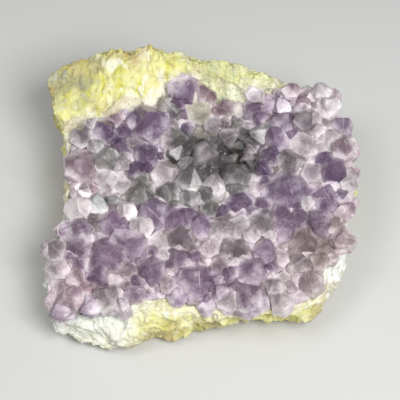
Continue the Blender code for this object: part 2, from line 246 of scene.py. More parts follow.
def grown_piece(name, mesh, tree, values):
    """A plain mesh object: what the tree makes of the mesh with these values."""
    start = bpy.data.objects.new(name + "_start", mesh)
    bpy.context.scene.collection.objects.link(start)
    modifier = start.modifiers.new(tree.name, "NODES")
    modifier.node_group = tree
    for item in tree.interface.items_tree:
        if item.in_out == "INPUT" and item.name in values:
            modifier[item.identifier] = values[item.name]
    bpy.context.view_layer.update()
    graph = bpy.context.evaluated_depsgraph_get()
    result = bpy.data.meshes.new_from_object(start.evaluated_get(graph))
    result.name = name
    bpy.data.objects.remove(start)
    piece = bpy.data.objects.new(name, result)
    bpy.context.scene.collection.objects.link(piece)
    return piece


def add_attribute(mesh, name, kind, values):
    """Gives each vertex of the mesh its own value of something."""
    field = {"FLOAT_VECTOR": "vector", "FLOAT_COLOR": "color"}.get(kind, "value")
    attribute = mesh.attributes.new(name, kind, "POINT")
    for item, value in zip(attribute.data, values):
        setattr(item, field, value)


def ray_target(mesh):
    """A mesh in the form that rays and nearest places are found on."""
    corners = [vertex.co for vertex in mesh.vertices]
    return BVHTree.FromPolygons(corners, [polygon.vertices for polygon in mesh.polygons])


def joined_shape(node):
    """A copy of a CAD node with its loose triangles joined, to work on."""
    shape = bmesh.new()
    shape.from_mesh(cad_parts[node].data)
    bmesh.ops.remove_doubles(shape, verts=shape.verts[:], dist=JOIN_WITHIN)
    return shape


def worked_mesh(shape, name):
    """The mesh of a shape that needs no more work."""
    mesh = bpy.data.meshes.new(name)
    shape.to_mesh(mesh)
    shape.free()
    return mesh


def rock_shows(face, crust):
    """Whether a face of the rock is neither its flat underside nor right under the crust."""
    middle = face.calc_center_median()
    if middle.z < UNDERSIDE and face.normal.z < 0:
        return False
    return crust.ray_cast(middle, face.normal, UNDER_CRUST)[0] is None


def delete_flaps(shape):
    """Deletes what splitting leaves at a few edges: two flat faces on the same three corners."""
    sharing = {}
    for face in shape.faces:
        sharing.setdefault(frozenset(face.verts), []).append(face)
    flaps = [face for faces in sharing.values() if len(faces) > 1 for face in faces]
    bmesh.ops.delete(shape, geom=flaps, context="FACES")


def rock_mesh():
    """The CAD rock, split finely and softened where it shows."""
    crust = ray_target(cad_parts["amethyst_crust"].data)
    shape = joined_shape("matrix_rock")
    for _ in range(SPLITS):
        shape.normal_update()
        shown = {face for face in shape.faces if rock_shows(face, crust)}
        long_edges = [edge for edge in shape.edges if edge.calc_length() > FINEST_EDGE]
        split = [edge for edge in long_edges if not shown.isdisjoint(edge.link_faces)]
        bmesh.ops.subdivide_edges(shape, edges=split, cuts=1)
        bmesh.ops.triangulate(shape, faces=[face for face in shape.faces if len(face.verts) > 3])
    loose = [vertex for vertex in shape.verts if vertex.co.z > UNDERSIDE]
    axes = {"use_axis_x": True, "use_axis_y": True, "use_axis_z": True}
    for _ in range(SOFTENING):
        bmesh.ops.smooth_vert(shape, verts=loose, factor=0.5, **axes)
    delete_flaps(shape)
    mesh = worked_mesh(shape, "rock")
    distances = [crust.find_nearest(vertex.co)[3] for vertex in mesh.vertices]
    add_attribute(mesh, "from_crust", "FLOAT", distances)
    return mesh


def rock_weathering():
    """Wears the rock's surface down into lumps, crumbs and furrowed fibres."""
    sizes = {"Lump depth": "Float", "Crumb depth": "Float", "Fibre depth": "Float", "Finish": "Material"}
    tree, given, nodes = new_growth("rock weathering", sizes)
    place = nodes.node("GeometryNodeInputPosition")
    ridge = (place.noise(LUMP_SIZE) - 0.5).size() * LUMP_SHARPNESS
    lump = ridge.clamped() * given["Lump depth"]
    crumb = crumbs(place) * given["Crumb depth"]
    fibre = (1 - fibres(place)) * given["Fibre depth"]
    share = place.part("Z").step(UNDERSIDE, UNDERSIDE_FADE)
    depth = (lump + crumb + fibre - ROUGHNESS_OUT) * share
    facing = nodes.node("GeometryNodeInputNormal")
    inputs = {"Geometry": given["Geometry"], "Offset": facing.times(0.0 - depth)}
    moved = nodes.node("GeometryNodeSetPosition", {}, inputs)
    inputs = {"Geometry": moved, "Material": given["Finish"]}
    finished = nodes.node("GeometryNodeSetMaterial", {}, inputs)
    nodes.node("NodeGroupOutput", {}, {"Geometry": finished})
    return tree


def crumbs(place):
    """0 in the middle of each crumb of the rock, up to about 0.7 in the creases between them."""
    inputs = {"Vector": place.shaken(2 * MM, 3 * MM), "Scale": 1 / CRUMB_SIZE}
    return place.node("ShaderNodeTexVoronoi", {}, inputs)


def fibres(place):
    """1 on the rock's fibres and 0 in the furrows between them."""
    wavy = place.shaken(3 * MM, 12 * MM).stretched(FIBRE_STRETCH)
    return wavy.noise(FIBRE_SIZE, 4.0, 0.7).step(0.22, 0.78)


def region(place, along_x, along_y):
    """1 in a region of the rock and 0 outside it."""
    return place.part("X").step(*along_x) * place.part("Y").step(*along_y)


def rock_finish():
    """Crumbly lemon-yellow stone, bleached beside the crystals, and white at the front left and right."""
    material, nodes = new_material("weathered host rock")
    place = nodes.node("ShaderNodeTexCoord", output="Object")
    from_crust = nodes.own("from_crust")
    shaken = place.shaken(14 * MM, 16 * MM)
    front_left = region(shaken, *FRONT_LEFT)
    right = region(shaken, *RIGHT)
    left = region(shaken, *LEFT)
    back_left = region(shaken, *BACK_LEFT)
    back_right = region(shaken, *BACK_RIGHT)
    front = shaken.part("Y").step(*FRONT_REACH)
    patch = place.noise(PATCH_SIZE)
    vein = place.shaken(8 * MM, 14 * MM).stretched(FIBRE_STRETCH).noise(VEIN_SIZE)
    speck = place.noise(SPECK_SIZE, 3.0, 0.65)

    colour = vein.step(0.44, 0.60).mixed(LEMON_ROCK, YELLOW_ROCK)
    bleached = 1 - (from_crust + (patch - 0.5) * 0.03 + (vein - 0.5) * 0.02).step(*BLEACHED_WIDTH)
    bleached = bleached * (1 - front * 0.45)
    cream_share = patch.step(0.56, 0.68) * 0.9 + left + bleached
    colour = cream_share.clamped().mixed(colour, CREAM_ROCK)
    white_share = (front_left + right) * 0.85 + (vein + speck).step(1.05, 1.3) * 0.8 + bleached * 0.3
    colour = white_share.clamped().mixed(colour, WHITE_ROCK)

    # Tan far from the crust: weather stain, and painted shade on the outer rim that slopes away from the
    # light.
    stain_and_shade = (from_crust + (speck - 0.5) * 0.02).step(*STAIN_AND_SHADE_WIDTH) * (1 - patch.step(0.50, 0.65))
    scuffed = place.noise(SCUFF_SIZE, 4.0, 0.6).step(0.52, 0.62) * (1 - front_left)
    # Tan towards the foot: stain, and painted shade along the rock's lower edge.
    foot = shaken.part("Z").step(*FOOT_REACH) * (1 - front_left * 0.7) * vein.step(0.35, 0.55)
    colour = (stain_and_shade * 0.6 + scuffed * 0.45 + foot * 0.6).clamped().mixed(colour, TAN_ROCK)
    colour = (back_right * (0.25 + vein.step(0.42, 0.58) * 0.45)).mixed(colour, SAGE_ROCK)
    grey_share = back_left * 0.6 + place.noise(GREY_PATCH_SIZE, 2.0).step(0.60, 0.72) * 0.4
    colour = (grey_share.clamped() * patch.step(0.35, 0.6)).mixed(colour, GREEN_GREY_ROCK)
    rust = place.noise(RUST_SPOT_SIZE, 1.0).step(0.68, 0.76)
    colour = (rust * 0.5).mixed(colour, RUST_ROCK)

    # Painted shade: olive in the furrows between the fibres, less at the front, and in painted pores.
    furrow = 1 - fibres(place).step(0.0, 0.35)
    colour = (furrow * speck.step(0.3, 0.55) * (0.75 - front * 0.4)).mixed(colour, PAINTED_SHADE_OLIVE)
    pores = 1 - (place.noise(PORE_SIZE, 3.0, 0.7) - back_right * 0.06).step(0.24, 0.38)
    colour = (pores * (0.65 + back_right * 0.15)).mixed(colour, PAINTED_SHADE_OLIVE)
    grain = place.noise(GRAIN_SIZE, 4.0, 0.7)
    bump = nodes.node("ShaderNodeBump", {}, {"Height": grain, "Strength": 0.9, "Distance": GRAIN_DEPTH})
    inputs = {"Base Color": colour, "Roughness": 0.85, "Normal": bump}
    stone = nodes.node("ShaderNodeBsdfPrincipled", {}, inputs)
    nodes.node("ShaderNodeOutputMaterial", {}, {"Surface": stone})
    return material


weathering = {
    "Lump depth": LUMP_DEPTH,
    "Crumb depth": CRUMB_DEPTH,
    "Fibre depth": FIBRE_DEPTH,
    "Finish": rock_finish(),
}
rock = grown_piece("weathered_rock", rock_mesh(), rock_weathering(), weathering)
for polygon in rock.data.polygons:
    polygon.use_smooth = True
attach(rock, "root")
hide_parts("matrix_rock")


# The quartz bed is the thin milky crust that the points grow out of. It fills the gaps between them and
# follows the rock. It is the CAD crust with its coarse points pressed down to under the real ones.

BED_SHARE = 0.55  # of the CAD crust's height over the rock
EDGE_PROBE = 9 * MM  # the crust's edge is what lies this near to where it ends
PROBES = 8
PIT_MIDDLE = Vector((8, 18, 0)) * MM
PIT_SHAPE = Vector((1.0, 1.35, 0.0))  # the pit is an oval, and scaling places by this makes it round
PIT_REACH = (18 * MM, 32 * MM)  # all smoky within the first, and none past the second
# painted shade in the hollow of the pit
PIT_SHADE_BLACK = (0.035, 0.032, 0.028)
CLOUD_SIZE = 4 * MM
GAP_SHADE_SIZE = 9 * MM
MILKY_BED = (0.80, 0.73, 0.75)
GAP_SHADE_BED = (0.15, 0.11, 0.10)
QUARTZ_IOR = 1.544
GLOW_TINT = (1.0, 0.9, 1.0)  # light that spreads inside milky quartz
GLOW_DEPTH = 2 * MM

# Each tone of quartz: its colour, and how milky it is.
TONES = {
    "v": ((0.26, 0.165, 0.285), 0.35),  # violet
    "d": ((0.18, 0.105, 0.205), 0.20),  # deep violet
    "p": ((0.39, 0.255, 0.315), 0.45),  # pink
    "m": ((0.38, 0.29, 0.34), 0.55),  # mauve
    "w": ((0.50, 0.43, 0.46), 0.80),  # white
    "c": ((0.66, 0.62, 0.49), 0.75),  # cream
    "b": ((0.265, 0.195, 0.195), 0.35),  # brown
    "s": ((0.235, 0.20, 0.22), 0.40),  # smoky
    "g": ((0.22, 0.21, 0.207), 0.40),  # grey, in the pit and beside it
}

# The points that show: plan place of the tip about the middle of the face in mm, radius in mm, and tone.
PLAN_MIDDLE = Vector((-0.3, -8.0, 0.0))
SHOWN_POINTS = [
    (-64, 33, 7.1, "s"), (-61, 41, 4.7, "w"), (-48, 37, 6.5, "d"), (-44, 29, 5.9, "d"),
    (-46, 45, 4.7, "p"), (-37, 47, 5.9, "v"), (-29, 42, 11.3, "v"), (-13, 46, 5.3, "g"),
    (-15, 53, 5.3, "d"), (-7, 54, 8.3, "v"), (3, 47, 7.7, "c"), (5, 58, 6.5, "p"),
    (42, 55, 5.9, "v"), (26, 37, 5.9, "g"), (38, 37, 7.7, "v"), (47, 46, 7.1, "v"),
    (49, 34, 5.3, "v"), (58, 44, 5.3, "s"), (68, 53, 7.1, "w"), (62, 46, 5.3, "w"),
    (71, 35, 7.1, "w"), (78, 27, 7.7, "p"), (57, 25, 7.7, "w"), (39, 26, 5.9, "d"),
    (67, 23, 4.7, "d"), (-4, 33, 5.9, "g"), (11, 37, 6.5, "g"), (6, 25, 7.1, "w"),
    (-60, 18, 9.0, "p"), (-52, 19, 6.5, "g"), (-42, 19, 4.7, "w"), (-37, 16, 4.7, "d"),
    (-29, 23, 5.3, "d"), (-51, 8, 5.3, "w"), (-32, 5, 7.1, "g"), (-19, 4, 6.5, "g"),
    (-15, 14, 7.1, "w"), (-4, 15, 7.1, "g"), (6, 10, 5.3, "w"), (19, 11, 7.7, "g"),
    (16, 3, 5.9, "g"), (3, 1, 5.3, "g"), (22, -6, 7.1, "d"), (43, 1, 8.9, "v"), (50, 17, 7.1, "s"),
    (61, 12, 5.3, "w"), (54, 2, 6.5, "v"), (65, 2, 6.5, "v"), (70, 11, 7.7, "d"), (81, 7, 5.3, "w"),
    (81, -5, 4.7, "p"), (67, -8, 5.3, "v"), (-65, -5, 7.7, "w"), (-55, 0, 5.3, "g"),
    (-64, -18, 5.9, "v"), (-58, -13, 5.3, "s"), (-49, -16, 7.1, "v"), (-40, -18, 5.9, "v"),
    (-32, -18, 5.3, "w"), (-29, -8, 10.1, "v"), (-14, -17, 6.5, "v"), (-2, -16, 7.1, "v"),
    (-8, -10, 5.3, "d"), (15, -18, 7.1, "s"), (21, -19, 5.3, "w"), (35, -15, 6.5, "s"),
    (48, -19, 6.5, "v"), (58, -18, 7.7, "d"), (71, -15, 5.9, "b"), (74, -25, 6.5, "p"),
    (54, -29, 8.3, "b"), (-78, -29, 6.5, "s"), (-66, -31, 7.1, "v"), (-51, -33, 9.5, "v"),
    (-36, -32, 8.9, "v"), (-20, -28, 5.3, "w"), (-13, -33, 6.5, "d"), (-11, -24, 6.5, "s"),
    (4, -28, 5.3, "w"), (12, -29, 5.3, "s"), (20, -31, 5.3, "s"), (33, -31, 5.9, "v"),
    (31, -40, 8.3, "v"), (54, -36, 5.3, "s"), (64, -36, 5.9, "b"), (55, -48, 7.7, "m"),
    (37, -50, 5.3, "s"), (41, -58, 5.9, "w"), (-75, -43, 6.5, "w"), (-66, -53, 7.7, "p"),
    (-71, -59, 8.4, "p"), (-55, -46, 5.9, "d"), (-47, -45, 4.7, "w"), (-49, -56, 8.3, "s"),
    (-34, -55, 5.9, "v"), (-29, -45, 9.5, "d"), (-1, -45, 9.5, "v"), (8, -52, 5.9, "v"),
    (14, -60, 6.5, "w"), (24, -53, 10.1, "d"), (-77, -66, 6.0, "d"), (-66, -69, 6.5, "v"),
    (75, 57, 6.5, "p"), (64, 62, 6.0, "w"), (77, 43, 6.0, "v"), (51, 62, 5.5, "p"),
]


rock_target = ray_target(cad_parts["matrix_rock"].data)
crust_target = ray_target(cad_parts["amethyst_crust"].data)


def drop_onto(target, x, y):
    """Where a vertical line meets the target, and which way the target faces there."""
    place, facing, _, _ = target.ray_cast(Vector((x, y, 1.0)), Vector((0, 0, -1)))
    return place, facing


def covered(x, y):
    """Whether the crust lies over this place, with rock under it."""
    return None not in (drop_onto(crust_target, x, y)[0], drop_onto(rock_target, x, y)[0])


def inside(x, y, reach):
    """Whether the crust covers all that lies this near to the place."""
    turns = [math.tau * step / PROBES for step in range(PROBES)]
    return all(covered(x + reach * math.cos(turn), y + reach * math.sin(turn)) for turn in turns)


def nearest_tone(x, y):
    """The tone of the shown point that is nearest for its size."""
    place = (Vector((x, y, 0)) / MM - PLAN_MIDDLE).xy
    return min(SHOWN_POINTS, key=lambda point: (place - Vector(point[:2])).length / point[2])[3]


def bed_mesh():
    """The CAD crust pressed down, with the tone of the nearest point, and where points crowd it."""
    mesh = worked_mesh(joined_shape("amethyst_crust"), "quartz_bed")
    places = [(vertex.co.x, vertex.co.y) for vertex in mesh.vertices]
    for vertex, (x, y) in zip(mesh.vertices, places):
        floor, _ = drop_onto(rock_target, x, y)
        if floor and vertex.co.z > floor.z:
            vertex.co.z = floor.z + (vertex.co.z - floor.z) * BED_SHARE
    tones = [(*TONES[nearest_tone(x, y)][0], 1.0) for x, y in places]
    add_attribute(mesh, "tone", "FLOAT_COLOR", tones)
    add_attribute(mesh, "crowded", "FLOAT", [float(inside(x, y, EDGE_PROBE)) for x, y in places])
    return mesh


def from_pit(place):
    """How far a place is from the middle of the pit, a little unevenly."""
    return place.shaken(8 * MM, 10 * MM).stretched(PIT_SHAPE).distance(PIT_MIDDLE * PIT_SHAPE)


def pit_share(place):
    """1 in the smoky pit, fading to 0 around it."""
    return 1 - from_pit(place).step(*PIT_REACH)


def bed_finish():
    """Milky quartz in patches, with painted shade between the points and in the pit, nearly black there."""
    material, nodes = new_material("milky quartz")
    place = nodes.node("ShaderNodeTexCoord", output="Object")
    cloud = place.noise(CLOUD_SIZE)
    colour = (cloud.step(0.3, 0.7) * 0.7 + 0.1).mixed(nodes.own("tone", "Color"), MILKY_BED)
    # Painted shade in patches on the bed between the points, where they crowd it.
    gap_shade = place.noise(GAP_SHADE_SIZE, 2.0).step(0.50, 0.60) * nodes.own("crowded")
    colour = (gap_shade * 0.75).mixed(colour, GAP_SHADE_BED)
    # Painted shade: the bed in the hollow pit goes nearly black.
    colour = (pit_share(place) * 0.9).mixed(colour, PIT_SHADE_BLACK)
    inputs = {
        "Base Color": colour,
        "Roughness": 0.35,
        "IOR": QUARTZ_IOR,
        "Subsurface Weight": 0.3,
        "Subsurface Radius": GLOW_TINT,
        "Subsurface Scale": GLOW_DEPTH,
    }
    quartz = nodes.node("ShaderNodeBsdfPrincipled", {}, inputs)
    nodes.node("ShaderNodeOutputMaterial", {}, {"Surface": quartz})
    return material


bed = bpy.data.objects.new("quartz_bed", bed_mesh())
bpy.context.scene.collection.objects.link(bed)
bed.data.materials.append(bed_finish())
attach(bed, "root")


# The amethyst points are six-sided quartz crystals with three large and three small end faces. They stand
# about square to the rock, lean out over the crust's edge, and have grown into the bed and each other.

POINT_SHAPES = 9  # different crystals to choose from
PRISM_UNEVENNESS = 0.16
END_SLOPE = math.radians(51.8)  # of a quartz crystal's end faces to its base
UNIT_LENGTH = 2.4  # of a crystal of radius 1
FOOT_TOP = 0.1 - UNIT_LENGTH  # what lies lower on that crystal is its foot
SETBACKS = (0.0, 0.3)  # how far out every second end face may lie, which makes it small
FACE_CHANGES = (0.0, 0.05)  # and how much further out any end face may lie
WORN_EDGE = 0.025
SAME_PLANE = 1e-6

SEED = 21
TIP_HEIGHT = 7.2 * MM  # of a shown point over the rock
TIP_HEIGHT_SHARE = 0.75  # of its radius, added to that
TIP_JITTER = 1.8 * MM
ROOT_DEPTH = 3.0 * MM  # of a point's foot in the rock
ROOT_INSET = 1.04  # the crust is still there this much further from the middle than a root
STEP_INWARDS = 0.98  # what a place's way from the middle is multiplied by, till it is far enough in
LEAST_RISE = 1.7 * MM  # of a tip out of the bed, or the point is left out
SWAY = 0.2  # how unevenly the points stand
LEAN_OUT = 0.9  # how strongly the points at the crust's edge lean over it
MOST_LEAN = math.radians(60)
WAYS_OUT = 12  # looked along for the crust's edge
BODY_SHARE_INSIDE = 1.35  # a shown point's body is this much wider than what shows of it
BODY_SHARE_AT_EDGE = 1.05  # and this much at the crust's edge
SIDE_SHARE = 0.9  # of its radius, from a point's axis to its sides
STANDING_CLEAR = 0.35  # of its radius, from other points' faces to a filling point's tip
TIP_INSET = 0.7  # of its radius, from a filling point's tip to the crust's edge
LIKE_NEIGHBOUR = 0.6  # the share of filling points that have the nearest shown point's tone
PALE_BELOW = 3.6 * MM  # filling points of a smaller radius are all pale
PALE_TONES = "mmw"
FILL = [
    # smallest and largest radius, closeness to neighbours, tip height less the shown points', tries
    (5.0 * MM, 7.0 * MM, 0.64, 2.0 * MM, 4000),
    (3.6 * MM, 5.0 * MM, 0.62, 3.0 * MM, 6000),
    (2.6 * MM, 3.6 * MM, 0.66, 3.8 * MM, 5000),
]

SHADES = (0.85, 1.2)  # what a point's colour is multiplied by
PART_CHANGES = (0.97, 1.03)  # and what its red, green and blue are
MILK_CHANGE = 0.15
TYPICAL_MILK = 0.40
EDGE_CROWDING = 0.15  # how much painted shade darkens a point at the crust's edge between its neighbours
VEIL_REACH = (0.25, 1.15)  # of its radius below its tip a point starts to cloud, and is all white
VEIL_SIZE = 7.0 * MM
WISP_SIZE = 1.6 * MM
FROST_SIZE = 0.7 * MM
RELIEF_SIZE = 2.6 * MM
RELIEF_DEPTH = 0.6 * MM
FACE_FROSTING = 0.28  # how much milkier one face may be than the next
CREVICE_REACH = (1.25, 1.8)  # of its radius below its tip a point darkens with painted shade, between its neighbours
PIT_SHADE_REACH = (0.9, 1.3)  # the same in the pit, where the painted shade goes to black
PIT_SHADE_DEPTH = (4.5 * MM, 9.5 * MM)  # and painted shade below a tip in the pit, however large its point is
PALE_REACH = (45 * MM, 80 * MM)  # from the pit outwards the quartz gets paler
LOW_REACH = (-5 * MM, -45 * MM)  # the low half of the crystal face sets in along Y
RIGHT_REACH = (25 * MM, 65 * MM)  # and its right along X
HALF_TONE = (0.5, 0.5, 0.5)
MILKY_GREY = (0.595, 0.565, 0.565)  # what the veils add to half of a point's tone
WHITE_VEIL = (0.96, 0.93, 0.93)
CLEAR_QUARTZ = (0.97, 0.95, 0.97)
PALE_EDGE = (0.92, 0.90, 0.93)
ROSE_TINT = (0.62, 0.42, 0.46)  # over the low half
IRON_STAIN = (0.42, 0.33, 0.29)  # a thin film on the points low on the right
PIT_GREY = (0.15, 0.142, 0.142)
CREVICE_SHADE_BROWN = (0.18, 0.13, 0.15)

chance = random.Random(SEED)


def way_out(x, y):
    """Which way the crust's edge lies, as a level vector from 0 inside to about 1 at the edge."""
    total = Vector((0, 0, 0))
    for step in range(WAYS_OUT):
        turn = math.tau * step / WAYS_OUT
        probe = Vector((math.cos(turn), math.sin(turn), 0))
        if not covered(x + probe.x * EDGE_PROBE, y + probe.y * EDGE_PROBE):
            total += probe
    return total / (WAYS_OUT / 2)


def in_pit(x, y):
    """Whether a place is in the pit, where the quartz is smoky."""
    return ((Vector((x, y, 0)) - PIT_MIDDLE) * PIT_SHAPE).length < PIT_REACH[0]


def sway():
    """A small level push, so that no two points stand alike."""
    return Vector((chance.gauss(0, SWAY), chance.gauss(0, SWAY), 0))


def shown_point(x, y, radius, tone):
    """The tip, axis and height of a listed point, which is rooted inside the crust."""
    height = TIP_HEIGHT + TIP_HEIGHT_SHARE * radius + chance.uniform(-TIP_JITTER, TIP_JITTER)
    inner = Vector((x, y))
    while not covered(inner.x, inner.y):
        inner *= STEP_INWARDS
    _, facing = drop_onto(rock_target, inner.x, inner.y)
    axis = (facing + sway()).normalized()
    root = Vector((x, y)) - axis.xy * height
    while not (covered(root.x, root.y) and covered(root.x * ROOT_INSET, root.y * ROOT_INSET)):
        root *= STEP_INWARDS
    base, _ = drop_onto(rock_target, root.x, root.y)
    lean = Vector((x, y)) - root
    lean *= min(1.0, height * math.sin(MOST_LEAN) / max(lean.length, MM))
    axis = Vector((lean.x, lean.y, math.sqrt(height**2 - lean.length_squared))).normalized()
    has_room = inside(x, y, radius * BODY_SHARE_INSIDE)
    body = radius * (BODY_SHARE_INSIDE if has_room else BODY_SHARE_AT_EDGE)
    return base + axis * height, axis, height, body, tone


def stands_clear(tip, radius, points):
    """Whether a tip stands well out of every other point's end faces and sides."""
    for other, axis, _, body, _ in points:
        below = (other - tip).dot(axis)
        if below > 0:
            aside = (tip - other + axis * below).length
            if aside < min(below / math.tan(END_SLOPE), body * SIDE_SHARE) + radius * STANDING_CLEAR:
                return False
    return True


def fill_points(shown):
    """Smaller points in the room that is left, each kind smaller and lower than the one before."""
    roots = np.array([tip - axis * height for tip, axis, height, _, _ in shown])
    radii = np.array([radius for _, _, _, radius, _ in shown])
    low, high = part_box("amethyst_crust")
    filled = []
    for smallest, largest, closeness, drop, tries in FILL:
        for _ in range(tries):
            x, y = chance.uniform(low.x, high.x), chance.uniform(low.y, high.y)
            radius = chance.uniform(smallest, largest)
            if not covered(x, y):
                continue
            root, facing = drop_onto(rock_target, x, y)
            if (np.linalg.norm(roots - root, axis=1) < closeness * (radii + radius)).any():
                continue
            outward = way_out(x, y)
            axis = (facing + sway() + outward * LEAN_OUT).normalized()
            jitter = chance.uniform(-TIP_JITTER, TIP_JITTER)
            height = TIP_HEIGHT - drop + TIP_HEIGHT_SHARE * radius + jitter
            tip = root + axis * height
            if not inside(tip.x, tip.y, radius * TIP_INSET):
                continue
            if not stands_clear(tip, radius, shown + filled):
                continue
            like_neighbour = chance.random() < LIKE_NEIGHBOUR and radius > PALE_BELOW
            tone = nearest_tone(x, y) if like_neighbour else chance.choice(PALE_TONES)
            tone = "g" if in_pit(x, y) else tone
            filled.append((tip, axis, height, radius, tone))
            roots = np.vstack([roots, root])
            radii = np.append(radii, radius)
    return filled


def kept_in(tip, axis, radius):
    """The tip, moved so that no part of the crystal reaches past the sides of the whole object's box."""
    shoulder = tip - axis * radius * math.tan(END_SLOPE)
    for side in (0, 1):
        width = radius * (1 + PRISM_UNEVENNESS) * math.sqrt(1 - axis[side] ** 2)
        over = max(tip[side], shoulder[side] + width) - cad_box[1][side]
        under = min(tip[side], shoulder[side] - width) - cad_box[0][side]
        tip[side] -= max(over, 0.0) + min(under, 0.0)
    return tip


def points_mesh():
    """A vertex at each tip, with what the crystal there is like."""
    points = []
    for x, y, radius, tone in SHOWN_POINTS:
        place = (Vector((x, y, 0)) + PLAN_MIDDLE) * MM
        points.append(shown_point(place.x, place.y, radius * MM, tone))
    points += fill_points(points)
    kinds = {"axis": "FLOAT_VECTOR", "radius": "FLOAT", "length": "FLOAT", "crowded": "FLOAT"}
    kinds |= {"spin": "FLOAT", "tone": "FLOAT_COLOR", "milk": "FLOAT", "shape": "INT"}
    tips, values = [], {name: [] for name in kinds}
    bed_target = ray_target(bed.data)
    for tip, axis, height, radius, tone in points:
        tip = kept_in(tip, axis, radius)
        colour, milk = TONES[tone]
        shade = chance.uniform(*SHADES)
        crystal = {
            "axis": axis,
            "radius": radius,
            "length": height + ROOT_DEPTH,
            "crowded": 1.0 if inside(tip.x, tip.y, EDGE_PROBE) else EDGE_CROWDING,
            "spin": chance.uniform(0, math.tau),
            "tone": (*[part * shade * chance.uniform(*PART_CHANGES) for part in colour], 1.0),
            "milk": min(1.0, max(0.0, milk + chance.uniform(-MILK_CHANGE, MILK_CHANGE))),
            "shape": chance.randrange(POINT_SHAPES),
        }
        nearest, facing, _, _ = bed_target.find_nearest(tip)
        if (tip - nearest).dot(facing) > LEAST_RISE:
            tips.append(tip)
            for name, value in crystal.items():
                values[name].append(value)
    mesh = bpy.data.meshes.new("tips")
    mesh.from_pydata(tips, [], [])
    for name, kind in kinds.items():
        add_attribute(mesh, name, kind, values[name])
    return mesh


def cut_away(shape, place, facing):
    """Cuts off what lies past a plane, and closes the cut with one face."""
    geometry = shape.verts[:] + shape.edges[:] + shape.faces[:]
    plane = {"plane_co": place, "plane_no": facing, "dist": SAME_PLANE}
    cut = bmesh.ops.bisect_plane(shape, geom=geometry, clear_outer=True, **plane)
    edges = [item for item in cut["geom_cut"] if isinstance(item, bmesh.types.BMEdge)]
    if len(edges) > 2:
        bmesh.ops.contextual_create(shape, geom=edges)


def crystal_shape(number):
    """One crystal of radius 1 with its tip at the origin and worn edges, and how its parts have grown."""
    shape = bmesh.new()
    edge_layer = shape.faces.layers.float.new("edge")
    frosting_layer = shape.faces.layers.float.new("frosting")
    bmesh.ops.create_cube(shape, size=1.0)
    bmesh.ops.scale(shape, vec=Vector((4, 4, 2 * UNIT_LENGTH)), verts=shape.verts[:])
    setback = chance.uniform(*SETBACKS)
    for side in range(6):
        turn = math.tau * side / 6
        outward = Vector((math.cos(turn), math.sin(turn), 0))
        reach = math.cos(math.pi / 6) * (1 + chance.uniform(-PRISM_UNEVENNESS, PRISM_UNEVENNESS))
        cut_away(shape, outward * reach, outward)
        facing = outward * math.sin(END_SLOPE) + Vector((0, 0, math.cos(END_SLOPE)))
        away = setback * (side % 2) + chance.uniform(*FACE_CHANGES)
        cut_away(shape, outward * away, facing)
    bmesh.ops.recalc_face_normals(shape, faces=shape.faces[:])
    for face in shape.faces:
        face[frosting_layer] = chance.uniform(-1, 1)
    upper_edges = [edge for edge in shape.edges if max(end.co.z for end in edge.verts) > FOOT_TOP]
    worn = bmesh.ops.bevel(shape, geom=upper_edges, offset=WORN_EDGE, segments=1, affect="EDGES")
    for face in worn["faces"]:
        face[edge_layer] = 1.0
        face[frosting_layer] = 0.0
    mesh = worked_mesh(shape, f"crystal_{number}")
    heights = [vertex.co.z for vertex in mesh.vertices]
    add_attribute(mesh, "growth", "FLOAT", [1 + z / UNIT_LENGTH for z in heights])
    add_attribute(mesh, "foot", "FLOAT", [float(z < FOOT_TOP) for z in heights])
    return bpy.data.objects.new(mesh.name, mesh)


def crystal_growth():
    """Puts a crystal at each tip, turned along its axis, and brings its foot down to its root."""
    inputs = {"Crystals": "Collection", "Unit length": "Float", "Finish": "Material"}
    tree, given, nodes = new_growth("crystal growth", inputs)

    def named(name, kind):
        return nodes.node("GeometryNodeInputNamedAttribute", {"data_type": kind}, {"Name": name})

    axis = named("axis", "FLOAT_VECTOR")
    radius = named("radius", "FLOAT")
    spin = nodes.node("ShaderNodeCombineXYZ", {}, {"Z": named("spin", "FLOAT")})
    turned = nodes.node("FunctionNodeEulerToRotation", {}, {0: spin})
    along = {"Rotation": turned, "Vector": axis}
    stood = nodes.node("FunctionNodeAlignRotationToVector", {"axis": "Z"}, along)
    settings = {"transform_space": "ORIGINAL"}
    sources = {"Collection": given["Crystals"], "Separate Children": True, "Reset Children": True}
    crystals = nodes.node("GeometryNodeCollectionInfo", settings, sources)
    inputs = {
        "Points": given["Geometry"],
        "Instance": crystals,
        "Pick Instance": True,
        "Instance Index": named("shape", "INT"),
        "Rotation": stood,
        "Scale": radius,
    }
    placed = nodes.node("GeometryNodeInstanceOnPoints", {}, inputs)
    solid = nodes.node("GeometryNodeRealizeInstances", {}, {"Geometry": placed})
    rise = (given["Unit length"] * radius - named("length", "FLOAT")) * named("foot", "FLOAT")
    rooted = nodes.node("GeometryNodeSetPosition", {}, {"Geometry": solid, "Offset": axis.times(rise)})
    inputs = {"Geometry": rooted, "Material": given["Finish"]}
    finished = nodes.node("GeometryNodeSetMaterial", {}, inputs)
    nodes.node("NodeGroupOutput", {}, {"Geometry": finished})
    return tree


